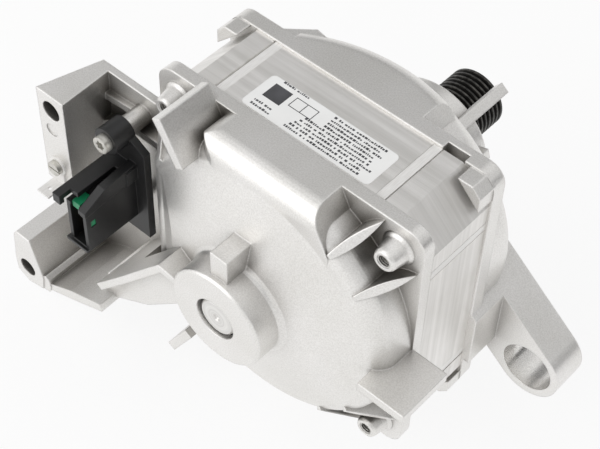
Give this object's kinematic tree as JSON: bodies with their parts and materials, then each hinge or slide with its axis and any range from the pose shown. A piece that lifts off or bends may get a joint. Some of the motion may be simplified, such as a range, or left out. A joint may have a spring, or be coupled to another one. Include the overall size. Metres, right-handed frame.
{
  "type": "washing machine motor",
  "caption": "Belt drive motor for a front loading washing machine: square laminated stator between cast end shields, mounting arms, side connector and a ribbed pulley that turns.",
  "frame": {"origin": "on the shaft axis in the middle of the belt track of the pulley", "axes": "+Y along the shaft out of the pulley end, +Z towards the label side, +X towards the arm with the bush bore"},
  "size_m": [0.2019, 0.1554, 0.1357],
  "materials": {
    "cast_aluminium": "shot blasted die casting",
    "lamination_steel": "stacked sheet edges, matt",
    "bright_steel": "bright",
    "bearing_steel": "ground",
    "zinc_steel": "zinc plated",
    "cage_brass": "pressed sheet",
    "copper_wire": "enamelled copper",
    "nylon": "moulded",
    "label_film": "printed film, satin",
    "seal_rubber": "matt",
    "ferrite": "matt grey",
    "black_steel": "black phosphate",
    "black_plastic": "moulded, semi matt",
    "green_plastic": "moulded"
  },
  "bodies": {
    "motor_body": {"rear_shield": "cast_aluminium", "front_shield": "cast_aluminium", "stator_core": "lamination_steel", "stack_cleats": "bright_steel", "coil_formers": "nylon", "stator_coils": "copper_wire", "rating_label": "label_film", "clamp_screws": "zinc_steel", "rear_outer_ring": "bearing_steel", "rear_seals": "seal_rubber", "preload_spring": "zinc_steel", "front_outer_ring": "bearing_steel", "front_seals": "seal_rubber", "connector_holder": "black_plastic", "terminal_insert": "green_plastic", "blade_terminals": "cage_brass", "holder_screw": "zinc_steel", "earth_tab": "bright_steel", "earth_screw": "zinc_steel"},
    "rotor": {"shaft": "bright_steel", "rotor_core": "lamination_steel", "rotor_magnets": "ferrite", "rotor_end_plates": "cage_brass", "pulley": "black_steel", "rear_inner_ring": "bearing_steel", "front_inner_ring": "bearing_steel"},
    "rear_ball_set": {"rear_balls": "bearing_steel", "rear_cage": "cage_brass"},
    "front_ball_set": {"front_balls": "bearing_steel", "front_cage": "cage_brass"}
  },
  "joints": [
    {"name": "rotor_spin", "type": "hinge", "parent": "motor_body", "child": "rotor", "pos_m": [0, 0, 0], "axis": [0, 1, 0], "continuous": true},
    {"name": "rear_balls_spin", "type": "hinge", "parent": "motor_body", "child": "rear_ball_set", "pos_m": [0, 0, 0], "axis": [0, 1, 0], "continuous": true},
    {"name": "front_balls_spin", "type": "hinge", "parent": "motor_body", "child": "front_ball_set", "pos_m": [0, 0, 0], "axis": [0, 1, 0], "continuous": true}
  ],
  "couplings": [
    {"joint": "rear_balls_spin", "follows": "rotor_spin", "ratio": 0.384},
    {"joint": "front_balls_spin", "follows": "rotor_spin", "ratio": 0.383}
  ]
}
